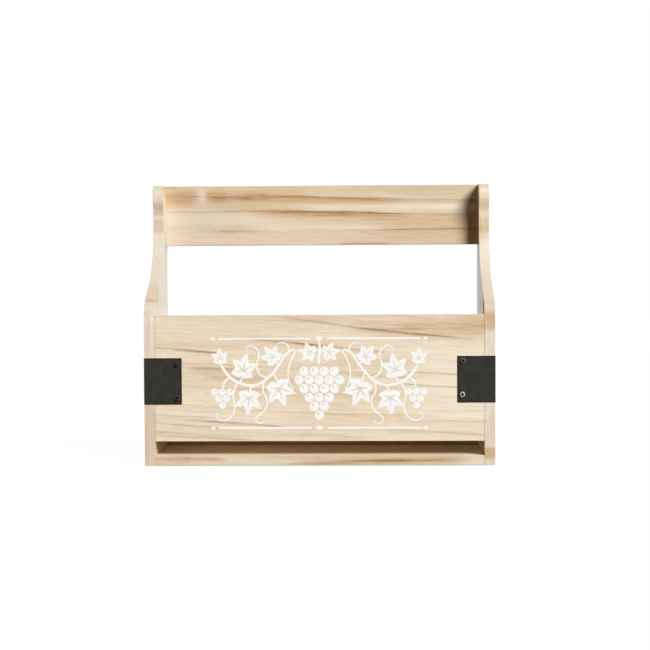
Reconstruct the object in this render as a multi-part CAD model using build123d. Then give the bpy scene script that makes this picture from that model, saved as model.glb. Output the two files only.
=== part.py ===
from build123d import *
import math
import os

# Bottle caddy for one row of bottles: two scooped side boards that carry a base, a front
# board, a back board and a top rail, with a folded sheet bracket on each front corner.
# Millimetres. X runs along the row, Y from front to rear and Z up. The origin is the middle
# of the underside.
overall_width = 350.0
overall_depth = 105.0
overall_height = 284.3

# Boards
side_thickness = 10.6
board_thickness = 10.2
edge_round = 0.3
front_board_height = 125.8
back_board_height = 126.0
rail_height = 62.5
# Open slot between the base and the front board
slot_height = 14.4

# Side boards: the front edge scoops back above the front board, into a neck and then an ear
shoulder_rise = 11.0
neck_width = 28.7
ear_bulge = 4.4
# The outline's corners, as shares of the rise from the shoulder to the top
neck_corner_share = 0.327
ear_low_corner_share = 0.765
ear_high_corner_share = 0.875
# How much of the shorter of its two runs each corner's rounding takes up
shoulder_rounding_share = 0.18
neck_rounding_share = 0.75
ear_rounding_share = 0.35
ear_top_rounding_share = 0.64

# Corner brackets, folded from thin sheet. They are set by hand, so their heights differ.
bracket_leg = 37.6
bracket_height = 46.4
sheet_thickness = 0.4
left_bracket_lift = 61.6
right_bracket_lift = 62.9
# The bend's inner radius, as a share of the wood's rounded edge that it lies on
bend_radius_share = 0.8
# Screw places: how far along the leg, and how far up the bracket
left_screw_shares = ((0.875, 0.138), (0.851, 0.860))
right_screw_shares = ((0.867, 0.172), (0.846, 0.897))

# Bracket screws, with a pan head and a cross recess
screw_diameter = 2.8
screw_head_diameter = 5.6
screw_head_height = 1.5
# The round on the head's rim, as a share of the head's height
screw_rim_share = 0.6
screw_tip = 2.0
# Wood left uncut behind a screw
screw_back_wall = 2.0
recess_span = 2.8
recess_width = 0.8
recess_depth = 0.9

# Round wire pins, driven through the side boards into the ends of the other boards
pin_length = 25.0
pin_diameter = 1.6
pin_head_diameter = 2.8
pin_head_thickness = 0.7
pin_tip = 1.8
# How far a pin's head is punched below the surface
pin_sink = 0.3
wide_board_pin_shares = (0.14, 0.5, 0.86)
rail_pin_shares = (0.22, 0.78)

# Radial clearance round a screw or pin in wood, the same round a screw in the sheet, and the
# free depth past its tip
bore_clearance = 0.05
sheet_clearance = 0.2
tip_clearance = 0.3
# How far a cutting tool runs past the surface that it enters
overrun = 1.0

LEFT = -1
RIGHT = 1
SIDES = (LEFT, RIGHT)

# Places that follow from the sizes above
half_width = overall_width / 2
front = -overall_depth / 2
rear = overall_depth / 2
inner_width = overall_width - 2 * side_thickness
front_board_bottom = board_thickness + slot_height
front_board_top = front_board_bottom + front_board_height
shoulder_height = front_board_top + shoulder_rise
scoop_rise = overall_height - shoulder_height
rail_bottom = overall_height - rail_height
bracket_lifts = {LEFT: left_bracket_lift, RIGHT: right_bracket_lift}
screw_shares = {LEFT: left_screw_shares, RIGHT: right_screw_shares}
# The screws stay inside the thinner of the two boards that they enter
screw_bite = min(side_thickness, board_thickness) - screw_back_wall


# Fasteners. Each stands at the origin with its seat at Z = 0 and points along +Z.
def pointed_shank(diameter, length, tip):
    """A round shank whose last stretch tapers to a point."""
    straight = length - tip
    shank = Cylinder(diameter / 2, straight, align=(Align.CENTER, Align.CENTER, Align.MIN))
    point = Cone(diameter / 2, 0, tip, align=(Align.CENTER, Align.CENTER, Align.MIN))
    return shank + Pos(0, 0, straight) * point


def pan_head_screw():
    head = Cylinder(
        screw_head_diameter / 2, screw_head_height, align=(Align.CENTER, Align.CENTER, Align.MAX)
    )
    head = fillet(head.edges().sort_by(Axis.Z)[0], screw_rim_share * screw_head_height)
    for turn in (0, 90):
        slot = Box(
            recess_span,
            recess_width,
            recess_depth + overrun,
            align=(Align.CENTER, Align.CENTER, Align.MAX),
        )
        head -= Pos(0, 0, recess_depth - screw_head_height) * Rot(0, 0, turn) * slot
    return head + pointed_shank(screw_diameter, sheet_thickness + screw_bite, screw_tip)


def wire_pin():
    head = Cylinder(
        pin_head_diameter / 2, pin_head_thickness, align=(Align.CENTER, Align.CENTER, Align.MIN)
    )
    return head + pointed_shank(pin_diameter, pin_length, pin_tip)


def screw_bore():
    """The hole in the wood under a bracket screw, seat at the wood's surface."""
    depth = screw_bite + tip_clearance
    bore = Cylinder(
        screw_diameter / 2 + bore_clearance,
        depth + overrun,
        align=(Align.CENTER, Align.CENTER, Align.MIN),
    )
    return Pos(0, 0, -overrun) * bore


def sheet_bore():
    """The hole in the sheet under a screw head, seat at the sheet's outer face."""
    bore = Cylinder(
        screw_diameter / 2 + sheet_clearance,
        sheet_thickness + 2 * overrun,
        align=(Align.CENTER, Align.CENTER, Align.MIN),
    )
    return Pos(0, 0, -overrun) * bore


def pin_bore():
    """The hole that a pin makes, with the wider mouth where its head is punched in."""
    shank = Cylinder(
        pin_diameter / 2 + bore_clearance,
        pin_length + tip_clearance,
        align=(Align.CENTER, Align.CENTER, Align.MIN),
    )
    mouth = Cylinder(
        pin_head_diameter / 2 + bore_clearance,
        pin_head_thickness + pin_sink + overrun,
        align=(Align.CENTER, Align.CENTER, Align.MIN),
    )
    return shank + Pos(0, 0, -pin_sink - overrun) * mouth


# Places of the fasteners. A place turns +Z into the wood.
def from_side(side, stand_off, y, z):
    """A place on a side board's outer face, facing in; stand_off is how far out it lies."""
    return Pos(side * (half_width + stand_off), y, z) * Rot(0, -90 * side, 0)


def from_front(x, stand_off, z):
    """A place on the front, facing back; stand_off is how far in front of it it lies."""
    return Pos(x, front - stand_off, z) * Rot(-90, 0, 0)


def front_screw_places(side, stand_off):
    for along_share, up_share in screw_shares[side]:
        x = side * (half_width - along_share * bracket_leg)
        yield from_front(x, stand_off, bracket_lifts[side] + up_share * bracket_height)


def side_screw_places(side, stand_off):
    for along_share, up_share in screw_shares[side]:
        y = front + along_share * bracket_leg
        yield from_side(side, stand_off, y, bracket_lifts[side] + up_share * bracket_height)


def base_pin_spots():
    """Where the pins enter the side boards, as (Y, Z), for the base board."""
    return [(front + share * overall_depth, board_thickness / 2) for share in wide_board_pin_shares]


def front_pin_spots():
    y = front + board_thickness / 2
    return [(y, front_board_bottom + share * front_board_height) for share in wide_board_pin_shares]


def back_pin_spots():
    y = rear - board_thickness / 2
    return [(y, board_thickness + share * back_board_height) for share in wide_board_pin_shares]


def rail_pin_spots():
    y = rear - board_thickness / 2
    return [(y, rail_bottom + share * rail_height) for share in rail_pin_shares]


def pin_places(spots, sides=SIDES):
    return [from_side(side, -pin_sink, y, z) for side in sides for y, z in spots]


def drilled(board, tool, places):
    """The board with the tool's shape cut at each place."""
    for place in places:
        board -= place * tool
    return board


# Boards
def corner_radius(before, corner, after, share):
    """The radius whose arc takes up this share of the shorter of a corner's two runs."""
    arriving = Vector(*corner) - Vector(*before)
    leaving = Vector(*after) - Vector(*corner)
    half_turn = math.radians(arriving.get_angle(leaving) / 2)
    return share * min(arriving.length, leaving.length) / math.tan(half_turn)


def side_outline():
    """The side board's outline, with its scooped front edge."""
    neck = rear - neck_width
    ear = neck - ear_bulge
    neck_corner = shoulder_height + neck_corner_share * scoop_rise
    ear_low_corner = shoulder_height + ear_low_corner_share * scoop_rise
    ear_high_corner = shoulder_height + ear_high_corner_share * scoop_rise
    corners = [
        ((front, 0), 0),
        ((front, shoulder_height), shoulder_rounding_share),
        ((neck, neck_corner), neck_rounding_share),
        ((neck, ear_low_corner), ear_rounding_share),
        ((ear, ear_high_corner), ear_rounding_share),
        ((ear, overall_height), ear_top_rounding_share),
        ((rear, overall_height), 0),
        ((rear, 0), 0),
    ]
    points = [point for point, share in corners]
    radii = []
    for index, (point, share) in enumerate(corners):
        after = points[(index + 1) % len(points)]
        radii.append(corner_radius(points[index - 1], point, after, share))
    with BuildSketch(Plane.YZ) as outline:
        with BuildLine():
            FilletPolyline(*points, radius=radii, close=True)
        make_face()
    return outline.sketch


def side_board(side):
    """A side board with both faces' edges eased, bored for its pins and bracket screws."""
    blank = extrude(side_outline(), side_thickness)
    blank = fillet(blank.faces().filter_by(Axis.X).edges(), edge_round)
    low_face = -half_width if side == LEFT else half_width - side_thickness
    board = Pos(low_face, 0, 0) * blank
    spots = base_pin_spots() + front_pin_spots() + back_pin_spots() + rail_pin_spots()
    board = drilled(board, pin_bore(), pin_places(spots, (side,)))
    return drilled(board, screw_bore(), side_screw_places(side, 0))


def cross_board(depth, height, y, z, pin_spots):
    """A board between the sides, with its long edges eased and its ends bored for the pins."""
    blank = Box(inner_width, depth, height, align=(Align.CENTER, Align.MIN, Align.MIN))
    blank = fillet(blank.edges().filter_by(Axis.X), edge_round)
    return drilled(Pos(0, y, z) * blank, pin_bore(), pin_places(pin_spots))


def base_board():
    return cross_board(overall_depth, board_thickness, front, 0, base_pin_spots())


def front_board():
    board = cross_board(
        board_thickness, front_board_height, front, front_board_bottom, front_pin_spots()
    )
    for side in SIDES:
        board = drilled(board, screw_bore(), front_screw_places(side, 0))
    return board


def back_board():
    return cross_board(
        board_thickness, back_board_height, rear - board_thickness, board_thickness, back_pin_spots()
    )


def top_rail():
    return cross_board(
        board_thickness, rail_height, rear - board_thickness, rail_bottom, rail_pin_spots()
    )


# Corner brackets and their screws
def corner_bracket(side):
    """A strip folded round the front corner, one leg on the front and one on the side."""
    bend = bend_radius_share * edge_round
    corners = [
        ((-sheet_thickness, -sheet_thickness), bend + sheet_thickness),
        ((bracket_leg, -sheet_thickness), 0),
        ((bracket_leg, 0), 0),
        ((0, 0), bend),
        ((0, bracket_leg), 0),
        ((-sheet_thickness, bracket_leg), 0),
    ]
    with BuildSketch() as section:
        with BuildLine():
            points = [point for point, radius in corners]
            FilletPolyline(*points, radius=[radius for point, radius in corners], close=True)
        make_face()
    bracket = Pos(-half_width, front, bracket_lifts[side]) * extrude(section.sketch, bracket_height)
    if side == RIGHT:
        bracket = bracket.mirror(Plane.YZ)
    bracket = drilled(bracket, sheet_bore(), front_screw_places(side, sheet_thickness))
    return drilled(bracket, sheet_bore(), side_screw_places(side, sheet_thickness))


def bracket_screws(side):
    places = list(front_screw_places(side, sheet_thickness))
    places += side_screw_places(side, sheet_thickness)
    return Compound([place * pan_head_screw() for place in places])


def board_pins(spots):
    return Compound([place * wire_pin() for place in pin_places(spots)])


nodes = {
    "side_left": side_board(LEFT),
    "side_right": side_board(RIGHT),
    "base_board": base_board(),
    "front_board": front_board(),
    "back_board": back_board(),
    "top_rail": top_rail(),
    "corner_bracket_left": corner_bracket(LEFT),
    "corner_bracket_right": corner_bracket(RIGHT),
    "bracket_screws_left": bracket_screws(LEFT),
    "bracket_screws_right": bracket_screws(RIGHT),
    "base_board_pins": board_pins(base_pin_spots()),
    "front_board_pins": board_pins(front_pin_spots()),
    "back_board_pins": board_pins(back_pin_spots()),
    "top_rail_pins": board_pins(rail_pin_spots()),
}

os.makedirs("parts", exist_ok=True)
for name, shape in nodes.items():
    export_step(shape, f"parts/{name}.step")
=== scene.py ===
import math

import bpy
from mathutils import Matrix, Vector


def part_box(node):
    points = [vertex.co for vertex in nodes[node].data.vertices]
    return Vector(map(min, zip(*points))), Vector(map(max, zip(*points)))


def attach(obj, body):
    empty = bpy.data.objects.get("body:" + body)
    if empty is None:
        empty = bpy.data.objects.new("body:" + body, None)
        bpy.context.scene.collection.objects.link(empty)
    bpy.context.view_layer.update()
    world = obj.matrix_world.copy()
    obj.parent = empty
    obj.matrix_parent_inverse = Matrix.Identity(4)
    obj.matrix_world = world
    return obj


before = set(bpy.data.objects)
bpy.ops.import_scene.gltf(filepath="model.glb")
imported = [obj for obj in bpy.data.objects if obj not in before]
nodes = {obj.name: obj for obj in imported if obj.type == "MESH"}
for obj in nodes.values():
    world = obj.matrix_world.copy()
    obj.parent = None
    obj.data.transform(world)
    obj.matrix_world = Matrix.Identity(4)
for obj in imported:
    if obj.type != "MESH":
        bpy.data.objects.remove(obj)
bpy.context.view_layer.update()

MM = 0.001


# Node trees, materials and objects
class Wiring:
    """Adds nodes to one node tree. The calls after node() give back the new node's outputs."""

    def __init__(self, tree):
        self.tree = tree

    def feed(self, socket, value):
        if isinstance(value, bpy.types.NodeSocket):
            self.tree.links.new(value, socket)
        else:
            socket.default_value = value

    def node(self, kind, inputs=None, **settings):
        made = self.tree.nodes.new(kind)
        for name, value in settings.items():
            setattr(made, name, value)
        for socket, value in (inputs or {}).items():
            self.feed(made.inputs[socket], value)
        return made

    def math(self, operation, *values, clamp=False):
        made = self.node("ShaderNodeMath", operation=operation, use_clamp=clamp)
        for socket, value in zip(made.inputs, values):
            self.feed(socket, value)
        return made.outputs[0]

    def plus(self, first, second, clamp=False):
        return self.math("ADD", first, second, clamp=clamp)

    def minus(self, first, second):
        return self.math("SUBTRACT", first, second)

    def times(self, first, second, clamp=False):
        return self.math("MULTIPLY", first, second, clamp=clamp)

    def vector(self, operation, *values):
        made = self.node("ShaderNodeVectorMath", operation=operation)
        for socket, value in zip(made.inputs, values):
            self.feed(socket, value)
        return made.outputs["Value" if operation in ("LENGTH", "DISTANCE") else "Vector"]

    def scaled(self, vector, factor):
        return self.node(
            "ShaderNodeVectorMath", {"Vector": vector, "Scale": factor}, operation="SCALE"
        ).outputs["Vector"]

    def split(self, vector):
        return self.node("ShaderNodeSeparateXYZ", {0: vector}).outputs

    def joined(self, x, y, z):
        return self.node("ShaderNodeCombineXYZ", {0: x, 1: y, 2: z}).outputs[0]

    def ramp(self, value, low, high, to_low=0.0, to_high=1.0):
        """A smooth step from to_low, where the value is low, to to_high, where it is high."""
        return self.node(
            "ShaderNodeMapRange",
            {"Value": value, "From Min": low, "From Max": high, "To Min": to_low, "To Max": to_high},
            interpolation_type="SMOOTHSTEP",
        ).outputs[0]

    def noise(self, vector, detail=2.0, roughness=0.5):
        return self.node(
            "ShaderNodeTexNoise",
            {"Vector": vector, "Scale": 1.0, "Detail": detail, "Roughness": roughness},
        ).outputs[0]

    def chance(self, value):
        """A random number from 0 to 1 for each value."""
        return self.node("ShaderNodeTexWhiteNoise", {"W": value}, noise_dimensions="1D").outputs[0]

    def blend(self, share, first, second, kind="MIX"):
        made = self.node("ShaderNodeMix", data_type="RGBA", blend_type=kind)
        sockets = (made.inputs[0], made.inputs[6], made.inputs[7])
        for socket, value in zip(sockets, (share, first, second)):
            self.feed(socket, value)
        return made.outputs[2]

    def group(self, tree, inputs):
        made = self.node("ShaderNodeGroup", node_tree=tree)
        for socket, value in inputs.items():
            self.feed(made.inputs[socket], value)
        return made.outputs


def node_group(name, kind, inputs, outputs):
    """A new tree with named sockets, with its wiring, its inputs' sockets and its output node."""
    tree = bpy.data.node_groups.new(name, kind)
    for direction, sockets in (("INPUT", inputs), ("OUTPUT", outputs)):
        for socket, form in sockets.items():
            tree.interface.new_socket(name=socket, in_out=direction, socket_type="NodeSocket" + form)
    wires = Wiring(tree)
    return tree, wires, wires.node("NodeGroupInput").outputs, wires.node("NodeGroupOutput")


def srgb(red, green, blue):
    """A colour picked on a screen, from 0 to 255, as the linear colour that a shader takes."""
    def linear(level):
        share = level / 255
        return share / 12.92 if share <= 0.04045 else ((share + 0.055) / 1.055) ** 2.4
    return (linear(red), linear(green), linear(blue), 1.0)


def new_material(name):
    """A material, its wiring and its shader."""
    made = bpy.data.materials.new(name)
    made.use_nodes = True
    return made, Wiring(made.node_tree), made.node_tree.nodes["Principled BSDF"]


def relief(wires, shader, height, strength, depth):
    """Feeds a shader's normal from a height, where 1 stands for this depth in millimetres."""
    bump = wires.node(
        "ShaderNodeBump", {"Height": height, "Strength": strength, "Distance": depth * MM}
    )
    wires.feed(shader.inputs["Normal"], bump.outputs[0])


def dress(node, material):
    """Puts one material on a node that is shown as the frame holds it."""
    for slot in nodes[node].material_slots:
        slot.material = material


def add_object(name, data):
    made = bpy.data.objects.new(name, data)
    bpy.context.scene.collection.objects.link(made)
    return made


# Wood
WHITE = (1.0, 1.0, 1.0, 1.0)
PALE_WOOD = srgb(245, 229, 203)
PALE_STREAK = srgb(250, 237, 216)
WARM_PALE = srgb(255, 230, 196)
TAN_WOOD = srgb(209, 176, 135)
BROWN_LINE = srgb(158, 107, 55)
BLOTCH_TAN = srgb(196, 162, 126)
END_GRAIN_AND_SHADE = srgb(196, 180, 158)
GREY_WOOD = srgb(200, 192, 178)
# How far apart the woods of two boards lie in the same noise, in millimetres
SEED_STEP = (917.0, 211.0, 157.0)
# How far slow and quick noise push the growth rings about, in rings
RING_SWAYS = (2.4, 0.45)
# How far slow, quick and fine noise push the streaks about, in millimetres
STREAK_SWAYS = (3.0, 2.6, 0.9)
# How sharp a ring's dark line is, and how much bolder some rings are than others
LINE_SHARPNESS = 9.0
BOLDNESS_SPREAD = 1.6
# How far rings and hair lines darken the wood, and how far its pores do
RING_SHADE = 0.20
HAIR_SHADE = 0.22
PORE_SHADE = 0.26
# What is left of a streak's strength at its spread
STREAK_FALL = 0.37


def board_grain_group():
    """Solid wood: its colour, its relief and what the streaks of one board share.

    Position is in millimetres: X along the grain, Y across the face and Z through the board.
    """
    tree, wires, given, result = node_group(
        "board_grain",
        "ShaderNodeTree",
        {
            "Position": "Vector",
            "Seed": "Float",
            "Ring Spacing": "Float",
            "Pith Across": "Float",
            "Pith Depth": "Float",
            "Line Strength": "Float",
            "Zone Strength": "Float",
            "Pale": "Color",
            "Dark": "Color",
            "Line": "Color",
        },
        {"Color": "Color", "Wobble": "Float", "Break": "Float", "Fibre": "Float", "Height": "Float"},
    )
    position = given["Position"]
    domain = wires.vector("ADD", position, wires.scaled(SEED_STEP, given["Seed"]))

    def stretched(along, across, detail=2.0, roughness=0.5):
        """Noise whose patches are about this long and this wide, in millimetres."""
        scale = (1 / along, 1 / across, 1 / across)
        return wires.noise(wires.vector("MULTIPLY", domain, scale), detail, roughness)

    slow = wires.minus(stretched(300, 80, 1.0), 0.5)
    quick = wires.minus(stretched(60, 9), 0.5)
    along, across, through = wires.split(position)
    reach = wires.joined(
        0.0,
        wires.plus(across, given["Pith Across"]),
        wires.plus(through, given["Pith Depth"]),
    )
    ring = wires.math("DIVIDE", wires.vector("LENGTH", reach), given["Ring Spacing"])
    for sway, push in zip(RING_SWAYS, (slow, quick)):
        ring = wires.plus(ring, wires.times(push, sway))
    phase = wires.math("FRACT", ring)
    number = wires.plus(wires.math("FLOOR", ring), given["Seed"])
    boldness = wires.math("POWER", wires.chance(number), BOLDNESS_SPREAD)
    edge = wires.ramp(phase, 0.95, 1.0, 1.0, 0.0)
    line = wires.times(wires.math("POWER", phase, LINE_SHARPNESS), edge)
    line = wires.times(line, boldness)
    line = wires.times(line, given["Line Strength"])
    breaks = stretched(34, 1.4, 3.0)
    line = wires.times(line, wires.ramp(breaks, 0.34, 0.6, 0.2, 1.0), clamp=True)

    zone = wires.ramp(stretched(420, 26), 0.38, 0.66)
    tint = wires.times(wires.times(phase, wires.chance(number)), RING_SHADE)
    shade = wires.plus(wires.times(zone, given["Zone Strength"]), tint)
    hair = wires.ramp(stretched(130, 1.1, 4.0, 0.6), 0.50, 0.66)
    shade = wires.plus(shade, wires.times(hair, HAIR_SHADE))
    color = wires.blend(shade, given["Pale"], given["Dark"])
    color = wires.blend(line, color, given["Line"])

    mottle = wires.ramp(stretched(22, 2.2, 3.0), 0.3, 0.7, 0.945, 1.04)
    fibre = stretched(12, 0.5, 3.0)
    pore = wires.ramp(stretched(6, 0.3, 1.0), 0.64, 0.74)
    bright = wires.times(mottle, wires.ramp(fibre, 0.32, 0.68, 0.955, 1.03))
    unshaded = wires.minus(1.0, wires.times(pore, PORE_SHADE))
    bright = wires.times(bright, unshaded)
    height = wires.minus(wires.times(fibre, 0.5), pore)
    height = wires.plus(height, wires.times(line, 0.6))

    fine = wires.minus(stretched(17, 3.0), 0.5)
    wobble = 0.0
    for sway, push in zip(STREAK_SWAYS, (slow, quick, fine)):
        wobble = wires.plus(wobble, wires.times(push, sway))
    wires.feed(result.inputs["Color"], wires.scaled(color, bright))
    wires.feed(result.inputs["Wobble"], wobble)
    wires.feed(result.inputs["Break"], breaks)
    wires.feed(result.inputs["Fibre"], fibre)
    wires.feed(result.inputs["Height"], height)
    return tree


def grain_streak_group():
    """One streak that runs along the grain. All its sizes and places are in millimetres.

    Crispness is 1 for a line with a sharp core and long tails, and 2 for a soft band.
    """
    tree, wires, given, result = node_group(
        "grain_streak",
        "ShaderNodeTree",
        {
            "Along": "Float",
            "Across": "Float",
            "Start": "Float",
            "End": "Float",
            "Start Across": "Float",
            "End Across": "Float",
            "Bow": "Float",
            "Spread Above": "Float",
            "Spread Below": "Float",
            "Strength": "Float",
            "Crispness": "Float",
        },
        {"Mask": "Float"},
    )
    along, across = given["Along"], given["Across"]
    length = wires.minus(given["End"], given["Start"])
    share = wires.math("DIVIDE", wires.minus(along, given["Start"]), length)
    climb = wires.minus(given["End Across"], given["Start Across"])
    middle = wires.math("MULTIPLY_ADD", share, climb, given["Start Across"])
    rest = wires.minus(1.0, share)
    arch = wires.times(wires.times(share, rest), 4.0)
    middle = wires.math("MULTIPLY_ADD", arch, given["Bow"], middle)
    off = wires.minus(across, middle)
    above = wires.math("DIVIDE", wires.math("MAXIMUM", off, 0.0), given["Spread Above"])
    under = wires.minus(0.0, off)
    below = wires.math("DIVIDE", wires.math("MAXIMUM", under, 0.0), given["Spread Below"])
    far = wires.math("POWER", wires.plus(above, below), given["Crispness"])
    body = wires.math("POWER", STREAK_FALL, far)
    begun = wires.ramp(share, 0.0, 0.3)
    ends = wires.times(begun, wires.ramp(share, 0.75, 1.0, 1.0, 0.0))
    mask = wires.times(wires.times(body, ends), given["Strength"])
    wires.feed(result.inputs["Mask"], mask)
    return tree


BOARD_GRAIN = board_grain_group()
GRAIN_STREAK = grain_streak_group()
AXES = "XYZ"
# Each kind of streak: its colour, the most that it covers, its crispness, and how much the
# fibres break it up
STREAK_KINDS = {
    "pale": (PALE_STREAK, 0.9, 2.0, 1.0),
    "tan": (TAN_WOOD, 0.9, 1.7, 1.0),
    "grey": (GREY_WOOD, 0.9, 2.0, 0.25),
    "brown": (BROWN_LINE, 0.8, 1.1, 1.0),
    "blotch": (BLOTCH_TAN, 0.9, 2.0, 0.25),
    "warm": (WARM_PALE, 0.95, 2.0, 0.25),
}

# Streaks, set to follow the wood's figure in the photograph, as: kind, start and end as
# shares of the board's length, place across it at the start and at the end as shares of its
# width, then in millimetres the bow, the spread above and the spread below, and the strength.
# Streaks marked below also paint light or shade.
FRONT_BOARD_STREAKS = (
    ("pale", 0.62, 1.60, 0.52, 0.46, 0, 30, 52, 0.85),
    ("pale", -0.10, 0.50, 0.22, 0.16, 0, 9, 12, 0.40),
    ("pale", -0.02, 0.26, 0.43, 0.42, 0, 8, 8, 0.30),
    ("pale", 0.76, 1.30, 0.19, 0.18, 0, 7, 7, 0.30),
    # This pale line along the lower edge is a painted highlight.
    ("pale", -0.40, 1.40, 0.00, 0.00, 0, 1.5, 1.5, 0.70),
    ("tan", 0.55, 1.35, 0.895, 0.905, 0, 5.5, 8, 0.85),
    ("tan", 0.84, 1.30, 0.965, 0.970, 0, 4, 5, 0.40),
    ("tan", 0.33, 0.75, 1.00, 0.93, 0, 3, 4, 0.30),
    ("tan", 0.22, 0.60, 0.84, 0.76, 0, 2.5, 6, 0.45),
    ("tan", 0.08, 0.28, 0.590, 0.565, 0, 0.8, 5, 0.75),
    ("tan", -0.20, 0.60, 0.90, 0.95, 0, 16, 16, 0.12),
    ("tan", 0.12, 0.34, 0.53, 0.49, 0, 2.5, 3.5, 0.45),
    ("tan", 0.22, 0.50, 0.52, 0.47, 0, 3, 3.5, 0.55),
    ("tan", 0.50, 0.80, 0.44, 0.41, 0, 5, 6, 0.35),
    ("tan", 0.50, 0.85, 0.66, 0.62, 0, 5, 6, 0.35),
    ("brown", -0.060, 0.22, 0.764, 0.698, 0, 0.4, 0.8, 0.60),
    ("brown", 0.050, 0.21, 0.738, 0.702, 0, 0.4, 0.8, 0.90),
    ("brown", 0.04, 0.30, 0.78, 0.745, 0, 0.5, 0.8, 0.25),
    ("brown", 0.08, 0.26, 0.592, 0.578, 0, 0.4, 1.2, 0.40),
    ("brown", 0.24, 0.56, 0.83, 0.745, 0, 0.5, 1.3, 0.55),
    ("brown", 0.41, 0.545, 0.778, 0.745, 0, 0.5, 1.4, 0.75),
    ("brown", 0.50, 0.72, 0.755, 0.705, 0, 0.6, 1.4, 0.60),
    ("brown", 0.37, 0.58, 0.995, 0.925, 0, 0.6, 1.2, 0.45),
    ("brown", 0.46, 0.99, 0.955, 0.812, -2.0, 0.5, 1.5, 0.90),
    ("brown", 0.60, 0.86, 0.895, 0.885, 0, 0.6, 1.1, 0.30),
    ("brown", 0.76, 1.08, 0.935, 0.915, 0, 0.8, 1.6, 0.22),
    ("brown", 0.70, 1.06, 0.855, 0.845, 0, 0.6, 1.0, 0.30),
    ("brown", 0.70, 0.97, 0.560, 0.527, 0, 0.5, 0.9, 0.60),
    ("brown", 0.72, 0.97, 0.462, 0.420, 0, 0.5, 0.9, 0.65),
    ("brown", 0.50, 0.84, 0.545, 0.500, 0, 0.5, 0.9, 0.40),
    ("brown", 0.78, 1.10, 0.245, 0.235, 0, 0.5, 0.9, 0.22),
    ("brown", 0.78, 1.12, 0.165, 0.145, 0, 0.6, 1.0, 0.30),
    ("brown", 0.64, 1.10, 0.100, 0.035, 0, 0.6, 1.1, 0.42),
    ("brown", 0.04, 0.46, 0.190, 0.095, 0.6, 0.6, 1.3, 0.62),
    ("brown", 0.14, 0.27, 0.170, 0.148, 0, 0.4, 0.8, 0.45),
    ("brown", -0.04, 0.24, 0.158, 0.100, 0, 0.6, 1.2, 0.55),
    ("brown", -0.04, 0.30, 0.094, 0.028, 0, 0.5, 1.0, 0.32),
    ("brown", -0.04, 0.34, 0.060, 0.005, 0, 0.5, 1.0, 0.20),
    ("brown", -0.04, 0.20, 0.220, 0.190, 0, 0.5, 1.0, 0.35),
    ("brown", -0.04, 0.30, 0.265, 0.215, 0, 0.5, 1.0, 0.20),
    ("brown", 0.30, 0.70, 0.070, 0.030, 0, 0.5, 1.0, 0.30),
)
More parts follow.
